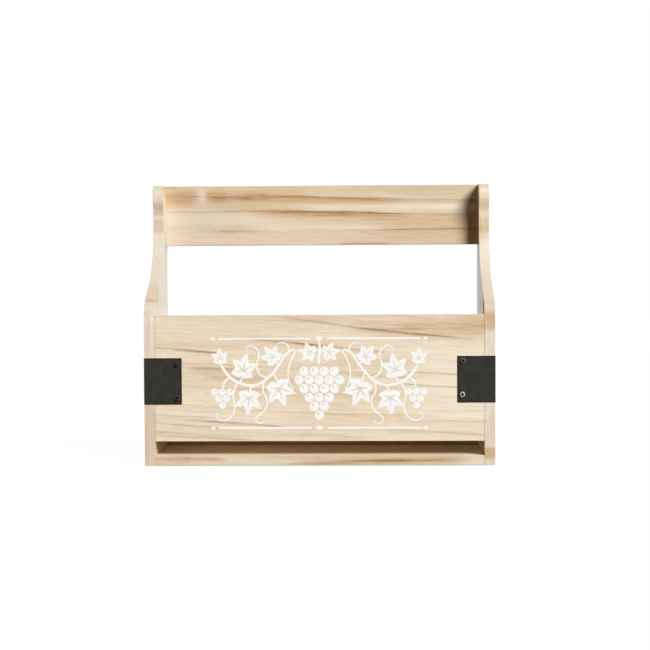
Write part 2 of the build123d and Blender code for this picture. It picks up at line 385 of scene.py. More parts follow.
TOP_RAIL_STREAKS = (
    ("pale", -0.30, 0.62, 0.44, 0.46, 0, 6, 7, 0.35),
    ("pale", 0.30, 1.10, 0.675, 0.635, 0, 3.5, 4, 0.75),
    ("pale", 0.20, 0.75, 0.30, 0.30, 0, 3, 3, 0.45),
    ("tan", -0.10, 0.130, 0.82, 0.82, 0, 9, 9, 0.95),
    ("blotch", -0.10, 0.125, 0.81, 0.81, 0, 8, 8, 0.80),
    ("tan", 0.115, 0.200, 0.84, 0.84, 0, 7, 7, 0.95),
    ("tan", 0.100, 0.500, 0.86, 0.84, 0, 6, 6, 0.85),
    ("tan", 0.12, 0.32, 0.74, 0.73, 0, 3, 5, 0.55),
    ("tan", 0.25, 0.85, 0.81, 0.75, 0, 1.5, 5, 0.80),
    ("tan", 0.24, 0.75, 0.725, 0.70, 0, 2, 3, 0.45),
    ("tan", 0.24, 0.80, 0.575, 0.49, 0, 1, 6.5, 0.85),
    ("tan", 0.15, 0.50, 0.62, 0.58, 0, 4, 5, 0.50),
    ("tan", 0.60, 1.25, 0.43, 0.38, 0, 4.5, 6, 0.80),
    ("tan", 0.55, 1.25, 0.16, 0.14, 0, 7, 7, 0.60),
    ("tan", 0.08, 0.36, 0.26, 0.25, 0, 2.5, 3, 0.35),
    ("tan", 0.55, 1.20, 0.93, 0.93, 0, 4, 4, 0.35),
    ("brown", -0.10, 0.05, 0.985, 0.98, 0, 0.8, 1.0, 0.70),
    ("brown", -0.06, 0.13, 0.835, 0.835, 0, 0.6, 0.9, 1.00),
    ("brown", 0.00, 0.10, 0.77, 0.77, 0, 1.0, 1.2, 0.70),
    ("brown", 0.122, 0.200, 0.765, 0.765, 0, 1.2, 1.5, 0.60),
    ("brown", 0.125, 0.210, 0.885, 0.885, 0, 0.8, 1.0, 0.45),
    ("brown", 0.11, 0.30, 0.82, 0.805, 0, 1.2, 2.0, 0.80),
    ("brown", 0.20, 0.80, 0.842, 0.770, 0, 0.5, 1.8, 0.95),
    ("brown", 0.22, 0.36, 0.785, 0.775, 0, 0.5, 1.0, 0.50),
    ("brown", 0.24, 0.34, 0.845, 0.838, 0, 1.0, 1.3, 0.60),
    ("brown", 0.55, 1.10, 0.80, 0.735, 0, 0.4, 0.9, 0.55),
    ("brown", -0.10, 0.50, 0.575, 0.575, 0, 0.4, 0.8, 0.50),
    ("brown", 0.25, 0.80, 0.580, 0.535, 0.6, 0.4, 2.4, 1.00),
    ("brown", 0.40, 0.62, 0.560, 0.550, 0, 0.5, 3.0, 0.45),
    ("brown", 0.60, 1.10, 0.550, 0.500, 0, 0.5, 1.4, 0.48),
    ("brown", 0.55, 1.20, 0.268, 0.260, 0, 0.5, 0.9, 0.50),
    ("brown", 0.72, 1.02, 0.268, 0.262, 0, 0.6, 1.3, 0.60),
    ("brown", 0.09, 0.32, 0.262, 0.245, 0, 0.8, 1.2, 0.35),
    ("brown", 0.16, 0.24, 0.250, 0.245, 0, 0.6, 0.8, 0.22),
    ("brown", 0.52, 0.76, 0.035, 0.035, 0, 0.8, 1.2, 0.75),
    ("pale", 0.075, 0.150, 0.87, 0.80, 0, 6, 5, 0.55),
    # These two grey patches at the rail's left end are painted shade, against the light thrown back
    # onto it by the left side board.
    ("grey", -0.35, 0.320, 0.36, 0.36, 0, 24, 26, 0.36),
    ("grey", -0.10, 0.030, 0.40, 0.40, 0, 34, 34, 0.45),
)
BASE_BOARD_STREAKS = (
    ("tan", 0.00, 0.24, 0.72, 0.55, 0, 1.8, 2.0, 0.60),
    ("tan", 0.30, 0.56, 0.90, 0.80, 0, 1.2, 1.6, 0.45),
    ("pale", 0.05, 0.50, 0.45, 0.40, 0, 6, 6, 0.45),
    ("pale", 0.86, 1.20, 0.45, 0.40, 0, 6, 6, 0.60),
    ("tan", 0.50, 1.00, 0.52, 0.60, 0, 2.4, 2.6, 0.95),
    ("tan", 0.12, 0.22, 0.72, 0.66, 0, 1.6, 2.0, 0.60),
    ("brown", -0.02, 0.06, 0.80, 0.66, 0, 0.6, 0.9, 0.45),
    ("brown", 0.02, 0.12, 0.66, 0.62, 0, 0.7, 0.9, 0.40),
    ("brown", 0.05, 0.11, 0.88, 0.80, 0, 0.6, 0.9, 0.45),
    ("brown", 0.08, 0.15, 0.84, 0.62, 0, 0.6, 0.9, 0.45),
    ("brown", 0.135, 0.195, 0.88, 0.72, 0, 0.6, 1.0, 0.45),
    ("brown", 0.36, 0.64, 0.14, 0.22, 0, 0.5, 0.9, 0.75),
    ("brown", 0.38, 0.78, 0.30, 0.42, 0, 0.8, 1.2, 0.45),
    ("brown", 0.48, 0.98, 0.36, 0.55, 0.5, 0.7, 1.0, 0.70),
    ("brown", 0.62, 0.90, 0.46, 0.58, 0, 0.6, 0.8, 0.60),
)
# The side boards' grain stands upright, so their lengths run up and their widths to the rear.
# Most of these streaks mark their front edges: the feet lie at 0 across, the ears at about 0.7.
SIDE_LEFT_STREAKS = (
    ("pale", 0.74, 1.20, 0.86, 0.86, 0, 12, 10, 0.95),
    ("grey", 0.955, 1.08, 0.70, 0.70, 0, 30, 30, 0.70),
    ("warm", 0.88, 0.975, 0.71, 0.71, 0, 5, 20, 0.40),
    ("blotch", 0.88, 0.945, 0.71, 0.71, 0, 5, 16, 0.46),
    ("blotch", 0.815, 0.885, 0.715, 0.715, 0, 5, 12, 0.48),
    ("grey", 0.50, 0.86, 0.60, 0.75, 0, 200, 200, 0.52),
    ("grey", 0.515, 0.600, 0.35, 0.35, 0, 60, 60, 0.34),
    ("blotch", 0.560, 0.640, 0.14, 0.22, 0, 16, 16, 0.36),
    ("brown", 0.5752, 0.5888, 0.09, 0.09, 0, 6, 7, 0.90),
    ("brown", 0.526, 0.549, 0.072, 0.072, 0, 3, 4, 0.70),
    ("blotch", -0.20, 0.30, 0.00, 0.00, 0, 8, 8, 0.20),
    ("tan", -0.20, 0.30, 0.00, 0.00, 0, 8, 8, 0.40),
    ("blotch", 0.30, 0.50, 0.00, 0.00, 0, 6, 6, 0.12),
    ("tan", -0.10, 0.90, 0.86, 0.90, 0, 3, 6, 0.30),
    ("brown", 0.30, 1.10, 0.93, 0.95, 0, 0.7, 1.4, 0.30),
)
SIDE_RIGHT_STREAKS = (
    ("grey", 0.960, 1.08, 0.70, 0.70, 0, 30, 30, 0.50),
    # This warm pale band is painted light on the ear's down-facing underside.
    ("warm", 0.86, 0.99, 0.70, 0.70, 0, 20, 20, 0.75),
    ("tan", 0.895, 0.952, 0.70, 0.70, 0, 16, 16, 0.78),
    ("tan", 0.785, 0.905, 0.70, 0.70, 0, 12, 12, 0.60),
    ("tan", 0.818, 0.850, 0.72, 0.72, 0, 12, 12, 0.40),
    ("grey", 0.50, 0.84, 0.70, 0.75, 0, 200, 200, 0.20),
    ("grey", 0.56, 0.84, 0.60, 0.75, 0, 200, 200, 0.16),
    ("pale", 0.62, 0.80, 0.60, 0.72, 0, 200, 200, 0.45),
    # These two dark patches lie near the board's front, just above the front board.
    ("blotch", 0.500, 0.592, 0.03, 0.17, 0, 9, 6, 0.80),
    ("blotch", 0.500, 0.600, 0.02, 0.02, 0, 9, 9, 0.38),
    ("blotch", 0.540, 0.600, 0.50, 0.50, 0, 25, 25, 0.08),
    ("tan", 0.458, 0.550, 0.00, 0.00, 0, 8, 8, 0.92),
    ("tan", -0.10, 0.22, 0.00, 0.00, 0, 8, 8, 0.20),
    ("tan", 0.015, 0.068, 0.00, 0.00, 0, 8, 8, 0.95),
    ("blotch", 0.022, 0.064, 0.00, 0.00, 0, 8, 8, 0.40),
    ("tan", -0.10, 0.80, 0.86, 0.92, 0, 3, 8, 0.35),
    ("brown", 0.20, 1.10, 0.92, 0.94, 0, 0.7, 1.4, 0.35),
)
BACK_BOARD_STREAKS = (
    ("tan", -0.10, 0.70, 0.70, 0.62, 0, 3, 10, 0.80),
    ("brown", -0.10, 0.80, 0.74, 0.65, 2.0, 0.6, 2.2, 0.90),
    ("brown", 0.30, 1.10, 0.44, 0.36, 1.2, 0.6, 1.6, 0.80),
    ("tan", 0.40, 1.20, 0.30, 0.24, 0, 5, 8, 0.60),
    ("brown", -0.10, 0.50, 0.22, 0.18, 0, 0.6, 1.2, 0.60),
    ("pale", 0.00, 0.60, 0.50, 0.46, 0, 8, 8, 0.15),
)


# A board's long edges are greyer, from this far in to this far in, in millimetres; along the
# lower edges this grey is painted shade under the rounding.
# How much greyer is given for its lower and its upper edge.
EDGE_REACH = (0.4, 2.0)
# A thin brown line where a board's end meets a side board is painted shade in the gap there
JOINT_SHADE_REACH = (0.2, 0.9)
RING_SPACING = 8.0


def board_material(
    node,
    axes,
    seed,
    streaks,
    slope=0.0,
    gloss=0.1,
    rough=(0.62, 0.8),
    face_tint=WHITE,
    end_grain_and_shade_share=0.5,
    edge_shares=(0.4, 0.4),
    joint_share=0.4,
    **grain,
):
    """Wood for one board. axes names the axes along the grain, across the face and through.

    slope is how far the grain falls across the face for each millimetre along it.
    """
    made, wires, shader = new_material(node + "_wood")
    low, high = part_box(node)
    order = [AXES.index(axis) for axis in axes]
    length, width = [(high[index] - low[index]) / MM for index in order[:2]]

    place = wires.node("ShaderNodeTexCoord").outputs["Object"]
    place = wires.scaled(wires.vector("SUBTRACT", place, low), 1 / MM)
    parts = wires.split(place)
    along, across, through = [parts[index] for index in order]
    settings = {
        "Ring Spacing": RING_SPACING,
        "Pith Across": 40.0,
        "Pith Depth": 90.0,
        "Line Strength": 0.45,
        "Zone Strength": 0.22,
        "Pale": PALE_WOOD,
        "Dark": TAN_WOOD,
        "Line": BROWN_LINE,
        **grain,
    }
    position = wires.joined(along, wires.math("MULTIPLY_ADD", along, slope, across), through)
    wood = wires.group(BOARD_GRAIN, {"Position": position, "Seed": seed, **settings})
    # On the lower edges the grey is painted shade.
    lower_edge_shade = wires.ramp(across, *EDGE_REACH, edge_shares[0], 0.0)
    upper = wires.ramp(wires.minus(width, across), *EDGE_REACH, edge_shares[1], 0.0)
    rim = wires.math("MAXIMUM", lower_edge_shade, upper)
    # Painted shade in the joint gap at each end of the board
    joint_shade = wires.math("MINIMUM", along, wires.minus(length, along))
    joint_shade = wires.ramp(joint_shade, *JOINT_SHADE_REACH, joint_share, 0.0)
    across = wires.plus(across, wood["Wobble"])
    color = wood["Color"]
    for kind, (tint, most, crispness, broken) in STREAK_KINDS.items():
        total = 0.0
        for streak in (row for row in streaks if row[0] == kind):
            start, end, start_across, end_across, bow, above, below, strength = streak[1:]
            mask = wires.group(
                GRAIN_STREAK,
                {
                    "Along": along,
                    "Across": across,
                    "Start": start * length,
                    "End": end * length,
                    "Start Across": start_across * width,
                    "End Across": end_across * width,
                    "Bow": float(bow),
                    "Spread Above": float(above),
                    "Spread Below": float(below),
                    "Strength": strength,
                    "Crispness": crispness,
                },
            )["Mask"]
            total = wires.plus(total, mask)
        breaks = wires.ramp(wood["Break"], 0.3, 0.66, 1 - 0.5 * broken, 1 + 0.15 * broken)
        fibres = wires.ramp(wood["Fibre"], 0.3, 0.7, 1 + 0.12 * broken, 1 - 0.12 * broken)
        total = wires.times(wires.times(total, breaks), fibres)
        total = wires.math("MINIMUM", total, most)
        color = wires.blend(total, color, tint)
        if kind == "blotch":
            dull = total
    color = wires.blend(rim, color, GREY_WOOD)
    color = wires.blend(joint_shade, color, BROWN_LINE)
    # Faces that cut across the grain are darker: end grain, and on the side boards' up-facing tops and
    # slopes also painted shade that holds back the lamp's light there.
    turn = wires.split(wires.node("ShaderNodeTexCoord").outputs["Normal"])
    end = wires.ramp(wires.math("ABSOLUTE", turn[order[0]]), 0.15, 0.8, 0.0, end_grain_and_shade_share)
    color = wires.blend(end, color, END_GRAIN_AND_SHADE)
    face = wires.ramp(wires.math("ABSOLUTE", turn[order[2]]), 0.5, 0.9)
    # On the right side board this tint is painted light on its shaded inner face.
    color = wires.blend(face, color, wires.blend(1.0, color, face_tint, "MULTIPLY"))
    wires.feed(shader.inputs["Base Color"], color)
    fine = wires.ramp(wood["Fibre"], 0.2, 0.8, *rough)
    wires.feed(shader.inputs["Roughness"], wires.math("MULTIPLY_ADD", dull, 0.5, fine))
    shine = wires.times(wires.minus(1.0, dull), gloss)
    wires.feed(shader.inputs["Specular IOR Level"], shine)
    relief(wires, shader, wood["Height"], 0.35, 0.12)
    return made


# Each board's wood is a little different; the back board's darker tan is painted shade that
# deepens the inside of the crate, seen through the slot under the front board.
RAIL_PALE = srgb(229, 211, 184)
BACK_TAN_SHADED = srgb(192, 160, 118)
EDGE_PALE = srgb(238, 226, 208)
# The side boards' wide faces are closely sanded, so they are smoother and show less figure.
# Their tints act on the wide faces: the left one greys them a little, and the right one is
# painted light that brightens and warms the right board's shaded inner face.
LEFT_FACE_TINT = (0.96, 0.965, 0.925, 1.0)
RIGHT_FACE_PAINTED_LIGHT = (1.07, 1.02, 0.93, 1.0)
SIDE_SETTINGS = {
    "gloss": 0.5,
    "rough": (0.26, 0.34),
    "edge_shares": (0.0, 0.0),
    "joint_share": 0.0,
    "Pale": EDGE_PALE,
    "Line Strength": 0.15,
    "Zone Strength": 0.10,
}
FRONT_SEED = 1.0
# For each board: its axes, the seed of its wood, its streaks and what else sets it apart
BOARDS = {
    "front_board": (
        "XZY",
        FRONT_SEED,
        FRONT_BOARD_STREAKS,
        {"slope": 0.05, "edge_shares": (0.0, 0.4)},
    ),
    "top_rail": (
        "XZY",
        2.0,
        TOP_RAIL_STREAKS,
        {"slope": 0.01, "edge_shares": (0.6, 0.4), "Pale": RAIL_PALE},
    ),
    "base_board": (
        "XZY",
        3.0,
        BASE_BOARD_STREAKS,
        {"edge_shares": (0.4, 0.0), "Pale": RAIL_PALE, "Pith Across": 60.0, "Pith Depth": 20.0},
    ),
    "back_board": ("XZY", 4.0, BACK_BOARD_STREAKS, {"slope": 0.02, "Pale": BACK_TAN_SHADED}),
    "side_left": ("ZYX", 5.0, SIDE_LEFT_STREAKS, {"face_tint": LEFT_FACE_TINT, **SIDE_SETTINGS}),
    "side_right": ("ZYX", 6.0, SIDE_RIGHT_STREAKS, {"face_tint": RIGHT_FACE_PAINTED_LIGHT, **SIDE_SETTINGS}),
}
for node, (axes, seed, streaks, settings) in BOARDS.items():
    dress(node, board_material(node, axes, seed, streaks, **settings))


# Metal
def metal_surface_group():
    """What sheet, screws and wire share: soft blotches, fine scratches and their relief."""
    tree, wires, given, result = node_group(
        "metal_surface",
        "ShaderNodeTree",
        {"Position": "Vector", "Blotch Size": "Float", "Scratch Length": "Float"},
        {"Blotch": "Float", "Scratch": "Float", "Grain": "Float"},
    )
    position = given["Position"]
    small = wires.math("DIVIDE", 1.0, given["Blotch Size"])
    blotch = wires.noise(wires.scaled(position, small), 4.0, 0.6)
    stretch = wires.joined(3.0, 3.0, wires.math("DIVIDE", 1.0, given["Scratch Length"]))
    scratch = wires.noise(wires.vector("MULTIPLY", position, stretch), 2.0)
    grain = wires.noise(wires.scaled(position, 5.0), 2.0)
    wires.feed(result.inputs["Blotch"], wires.ramp(blotch, 0.3, 0.7))
    wires.feed(result.inputs["Scratch"], wires.ramp(scratch, 0.62, 0.72))
    wires.feed(result.inputs["Grain"], grain)
    return tree


METAL_SURFACE = metal_surface_group()


def metal_start(name, blotch_size, scratch_length):
    """A material with its wiring, its shader, the place in millimetres and the metal's surface."""
    made, wires, shader = new_material(name)
    place = wires.scaled(wires.node("ShaderNodeTexCoord").outputs["Object"], 1 / MM)
    surface = wires.group(
        METAL_SURFACE,
        {"Position": place, "Blotch Size": blotch_size, "Scratch Length": scratch_length},
    )
    return made, wires, shader, place, surface


def near_line(wires, first, second, at_first, at_second, inner, outer):
    """1 close to a straight line that crosses a plane at this place, fading out to 0."""
    aside = wires.minus(first, at_first)
    up = wires.minus(second, at_second)
    far = wires.vector("LENGTH", wires.joined(aside, up, 0.0))
    return wires.ramp(far, inner, outer, 1.0, 0.0)


SHEET_BLACK = srgb(47, 46, 41)
SHEET_WORN_AND_LIT = srgb(84, 80, 75)
SHEET_RIM = srgb(44, 33, 24)
# In millimetres: the length of a bracket's leg on the wood, and where its dark rim fades out
LEG_LENGTH = 37.6
RIM_REACH = (0.6, 1.9)


def bracket_material(name, node, side):
    """Matt black paint, rubbed a little thinner along the fold and darker round the rim. The fold's
    lighter colour is also a painted highlight on the bend.
    """
    made, wires, shader, place, surface = metal_start(name, 9.0, 14.0)
    low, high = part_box(node)
    corner = low if side < 0 else (high[0], low[1], low[2])
    across, back, up = wires.split(place)
    # The lighter worn paint along the fold is also a painted highlight on the bend.
    fold = near_line(wires, across, back, corner[0] / MM, corner[1] / MM, 0.3, 1.8)
    worn_and_lit = wires.times(fold, wires.ramp(surface["Grain"], 0.35, 0.6, 0.35, 1.0))
    worn_and_lit = wires.plus(worn_and_lit, wires.times(surface["Scratch"], 0.10), clamp=True)
    color = wires.blend(worn_and_lit, SHEET_BLACK, SHEET_WORN_AND_LIT)
    from_fold = wires.math("ABSOLUTE", wires.minus(across, corner[0] / MM))
    free = wires.minus(LEG_LENGTH, from_fold)
    below = wires.minus(up, low[2] / MM)
    above = wires.minus(high[2] / MM, up)
    rim = wires.math("MINIMUM", free, wires.math("MINIMUM", below, above))
    color = wires.blend(wires.ramp(rim, *RIM_REACH, 0.8, 0.0), color, SHEET_RIM)
    bright = wires.ramp(surface["Blotch"], 0.0, 1.0, 0.86, 1.2)
    wires.feed(shader.inputs["Base Color"], wires.scaled(color, bright))
    wires.feed(shader.inputs["Roughness"], wires.ramp(surface["Blotch"], 0.0, 1.0, 0.62, 0.75))
    shader.inputs["Specular IOR Level"].default_value = 0.12
    relief(wires, shader, surface["Grain"], 0.25, 0.05)
    return made


SCREW_BLACK = srgb(44, 40, 36)
SCREW_BARE = srgb(200, 194, 184)
RECESS_SHADE = srgb(20, 17, 15)
# Bare steel and the recess's painted shade fade out from this far to this far from a screw's middle,
# in millimetres
HEAD_REACH = (3.0, 3.2)
RECESS_REACH = (1.1, 1.5)
# The right side board's outer face and the boards' fronts, in millimetres from the middle
OUTER_FACE = 175.0
FRONT_FACE = -52.5
# For each side, its lower and its upper screws: how far each stands from the fold, its height,
# and how bare the blacking has worn on its front head
SCREWS = {
    -1: ((32.9, 68.0, 0.05), (32.0, 101.5, 0.03)),
    1: ((32.6, 70.9, 0.62), (31.8, 104.5, 0.16)),
}
SIDE_SCREW_WEAR = 0.25


def screw_material(name, side):
    """Blackened steel heads, bare where they are worn, with painted shade in the cross recess."""
    made, wires, shader, place, surface = metal_start(name, 1.6, 3.0)
    across, back, up = wires.split(place)
    fold = side * OUTER_FACE
    bare, recess = 0.0, 0.0
    for leg, height, wear in SCREWS[side]:
        front_spot = (across, up, fold - side * leg, height)
        side_spot = (back, up, leg + FRONT_FACE, height)
        for spot, share in ((front_spot, wear), (side_spot, SIDE_SCREW_WEAR)):
            head = near_line(wires, *spot, *HEAD_REACH)
            bare = wires.math("MULTIPLY_ADD", head, share, bare)
            core = near_line(wires, *spot, *RECESS_REACH)
            recess = wires.plus(recess, core)
    patchy = wires.ramp(surface["Blotch"], 0.0, 1.0, 0.75, 1.15)
    bare = wires.times(bare, patchy, clamp=True)
    bare = wires.times(bare, wires.minus(1.0, recess), clamp=True)
    color = wires.blend(bare, SCREW_BLACK, SCREW_BARE)
    # Painted shade darkens the cross recess.
    color = wires.blend(wires.math("MINIMUM", recess, 1.0), color, RECESS_SHADE)
    wires.feed(shader.inputs["Base Color"], color)
    wires.feed(shader.inputs["Metallic"], wires.times(bare, 0.9))
    wires.feed(shader.inputs["Roughness"], wires.ramp(surface["Blotch"], 0.0, 1.0, 0.5, 0.65))
    shader.inputs["Specular IOR Level"].default_value = 0.05
    relief(wires, shader, surface["Scratch"], 0.3, 0.04)
    return made


for hand, side in (("left", -1), ("right", 1)):
    bracket = "corner_bracket_" + hand
    dress(bracket, bracket_material("black_sheet_" + hand, bracket, side))
    dress("bracket_screws_" + hand, screw_material("screw_steel_" + hand, side))

WIRE_BRIGHT = srgb(196, 193, 187)
WIRE_DULL = srgb(128, 124, 118)


def pin_material():
    """Plain bright wire with light drawing marks along it."""
    made, wires, shader, _, surface = metal_start("pin_wire", 2.4, 0.3)
    color = wires.blend(wires.times(surface["Blotch"], 0.7), WIRE_BRIGHT, WIRE_DULL)
    wires.feed(shader.inputs["Base Color"], color)
    wires.feed(shader.inputs["Roughness"], wires.ramp(surface["Scratch"], 0.0, 1.0, 0.3, 0.5))
    shader.inputs["Metallic"].default_value = 1.0
    relief(wires, shader, surface["Scratch"], 0.2, 0.03)
    return made


wire = pin_material()
for pins in ("base_board_pins", "front_board_pins", "back_board_pins", "top_rail_pins"):
    dress(pins, wire)


# Print: a vine with grapes in white screen-printed paint. It is drawn in millimetres round the
# print's middle, to the right and up, and its right half is mirrored to the left.
PRINT_HEIGHT = 82.5
PAINT_TOP = 0.05
PAINT_SUNK = 0.01
# A leaf's reach from its stalk, as a share of its size, for angles from its tip in degrees
LEAF_REACH = (
    (0, 1.0), (27, 0.52), (54, 0.88), (86, 0.46), (112, 0.68), (146, 0.50), (166, 0.44), (180, 0.08)
)
LEAF_PEAKS = (0, 54, 112)
LEAF_TEETH = 30
TOOTH_DEPTH = 0.09
LOBE_SHARPNESS = 1.35
LEAF_STEPS = 180
# The bare veins, as angle and reach, their half width at the stalk and how far out they start
LEAF_VEINS = ((-112, 0.46), (-54, 0.66), (0, 0.76), (54, 0.66), (112, 0.46))
VEIN_HALF_WIDTH = 0.045
VEIN_START = 0.05
# Each leaf: the place of its stalk, its tip's turn from straight up and its size
LEAVES = (
    (9.0, 30.5, -78, 13.5),
    (46.0, 26.0, -38, 15.0),
    (40.5, -5.0, 160, 20.5),
    (70.5, -14.5, -176, 18.5),
    (76.0, 13.0, 12, 18.5),
    (99.0, 24.5, -6, 12.0),
)
# Each stroke: its width at the start, in the middle and at the end, then its course
VINE_STROKES = (
    (
        2.0, 2.4, 2.8,
        (24.5, 34.5), (32, 30), (40, 18.5), (50, 6.5), (63, -1.5), (77, -0.5), (89, 6), (97, 16),
    ),
    (1.8, 1.6, 1.4, (0.9, 33), (4, 32.2), (7.6, 31.2)),
    (1.8, 1.6, 1.4, (97, 16), (98.4, 19.5), (99, 23)),
    (1.8, 1.6, 1.4, (39.8, 19), (42.5, 21.5), (45, 24.5)),
    (1.8, 1.6, 1.4, (46, 11), (43.4, 5), (41, -3)),
    (1.8, 1.6, 1.4, (66, -2), (69, -6), (70.4, -12.4)),
    (1.8, 1.6, 1.4, (79, 0.4), (77.4, 5), (76.2, 11)),
    (1.8, 1.6, 1.4, (89, 6), (94, 2.4), (96.4, -4.4)),
    (
        1.7, 1.4, 0.8,
        (55, 2.6), (56, -8), (52, -17), (54, -26), (59.5, -31), (63.5, -36.5), (58.5, -40), (54, -37),
    ),
    (1.7, 1.4, 0.8, (52, 5), (60, 10), (62, 20), (60, 29), (64, 36), (71, 37), (73.5, 33)),
    (1.7, 1.4, 0.8, (30, 31.4), (31, 37.5), (36.5, 40.5), (42, 39.5)),
    (1.6, 1.3, 0.8, (22.5, 33.2), (28, 23), (31, 10), (29, -1), (25.5, -6)),
    (1.7, 1.4, 0.8, (82, 1), (86, -12), (84.5, -23), (88, -33), (96, -37), (103, -33.5), (101, -28.5)),
)
STEM_STROKE = (2.2, 3.0, 2.2, (0, 41), (0.8, 33), (-0.4, 25), (0, 19))
RULE_WIDTH = 1.8
RULE_HEIGHT = 44.6
RULE_FROM = 8.0
RULE_TO = 101.0
# A bunch: the middle of its top row, the berries in that row and in the ones below it, and a
# berry's radius and pitch. Rows stand this share of the pitch apart.
MIDDLE_BUNCH = (0.0, 12.0, (4, 5, 4, 3, 2, 1), 4.6, 10.1)
SIDE_BUNCH = (96.8, -8.5, (3, 2, 1), 3.5, 7.7)
ROW_PITCH = 0.866
BERRY_STEPS = 40
# The bare glint on a berry, as shares of its radius: its place aside and up, and its radius
GLINT = (-0.30, 0.34, 0.24)
# Half the width of the diamonds in the middle of a rule and past its ends, how far out those
# stand, and a diamond's height as a share of its width
MIDDLE_DIAMOND = 4.4
END_DIAMOND = 2.8
END_DIAMOND_PLACE = 106.0
DIAMOND_HEIGHT = 0.66
STROKE_STEPS = 10
MERGE_DISTANCE = 0.001


def turned(reach, degrees):
    """The point this far from the origin, at this angle from straight up."""
    angle = math.radians(degrees)
    return (reach * math.sin(angle), reach * math.cos(angle))


def leaf_outline():
    """A broad leaf with five lobes and a toothed edge, tip up, with its stalk at the origin."""
    outline = []
    for step in range(LEAF_STEPS):
        degrees = -180 + 360 * step / LEAF_STEPS
        off = abs(degrees)
        for (low, near), (high, far) in zip(LEAF_REACH, LEAF_REACH[1:]):
            if low <= off <= high:
                share = (off - low) / (high - low)
                if high in LEAF_PEAKS:
                    share = share ** LOBE_SHARPNESS
                elif low in LEAF_PEAKS:
                    share = 1 - (1 - share) ** LOBE_SHARPNESS
                reach = near + (far - near) * share
        tooth = abs(degrees / 180 * LEAF_TEETH % 2 - 1)
        outline.append(turned(reach * (1 - TOOTH_DEPTH * tooth), degrees))
    return outline


def vein_outline():
    """The bare veins as one star, with a thin spike for each."""
    star = []
    for degrees, reach in LEAF_VEINS:
        start = turned(VEIN_START, degrees)
        aside = turned(VEIN_HALF_WIDTH, degrees + 90)
        star.append((start[0] - aside[0], start[1] - aside[1]))
        star.append(turned(reach, degrees))
        star.append((start[0] + aside[0], start[1] + aside[1]))
    return star


def ring_outline(radius, aside=0.0, up=0.0):
    spots = [turned(radius, 360 * step / BERRY_STEPS) for step in range(BERRY_STEPS)]
    return [(x + aside, y + up) for x, y in spots]


def outline_object(name, outlines):
    """Closed flat outlines as one curve object. An outline inside another is a hole in it."""
    curve = bpy.data.curves.new(name, "CURVE")
    curve.dimensions = "3D"
    for outline in outlines:
        spline = curve.splines.new("POLY")
        spline.points.add(len(outline) - 1)
        spline.use_cyclic_u = True
        for point, (x, y) in zip(spline.points, outline):
            point.co = (x, y, 0.0, 1.0)
    return add_object(name, curve)


def stroke_object(name, strokes):
    """Smooth strokes through their points. A stroke's width is kept as the points' radius."""
    curve = bpy.data.curves.new(name, "CURVE")
    curve.dimensions = "3D"
    curve.resolution_u = STROKE_STEPS
    for first, middle, last, *course in strokes:
        spline = curve.splines.new("BEZIER")
        spline.bezier_points.add(len(course) - 1)
        for index, (point, (x, y)) in enumerate(zip(spline.bezier_points, course)):
            share = index / (len(course) - 1)
            point.co = (x, y, 0.0)
            point.handle_left_type = point.handle_right_type = "AUTO"
            low, high = (first, middle) if share < 0.5 else (middle, last)
            point.radius = low + (high - low) * (share * 2 % 1 if share < 1 else 1)
    return add_object(name, curve)


def places_object(name, places):
    """Points that motifs are set on, as (x, y, turn in degrees, size, 1 or -1 to mirror it)."""
    mesh = bpy.data.meshes.new(name)
    mesh.from_pydata([(place[0], place[1], 0.0) for place in places], [], [])
    for title, column in (("turn", 2), ("size", 3), ("hand", 4)):
        values = mesh.attributes.new(title, "FLOAT", "POINT")
        for index, place in enumerate(places):
            values.data[index].value = float(place[column])
    return add_object(name, mesh)


def mirrored(places):
    """The places, and the same ones on the left."""
    right = [(*place, 1) for place in places]
    left = [(-x, y, -turn, size, -1) for x, y, turn, size in places]
    return right + left


def mirrored_strokes(strokes):
    left = [(*stroke[:3], *[(-x, y) for x, y in stroke[3:]]) for stroke in strokes]
    return list(strokes) + left


def bunch_places(middle, top, rows, radius, pitch):
    places = []
    for row, count in enumerate(rows):
        for berry in range(count):
            x = middle + (berry - (count - 1) / 2) * pitch
            places.append((x, top - row * pitch * ROW_PITCH, 0, radius))
    return places


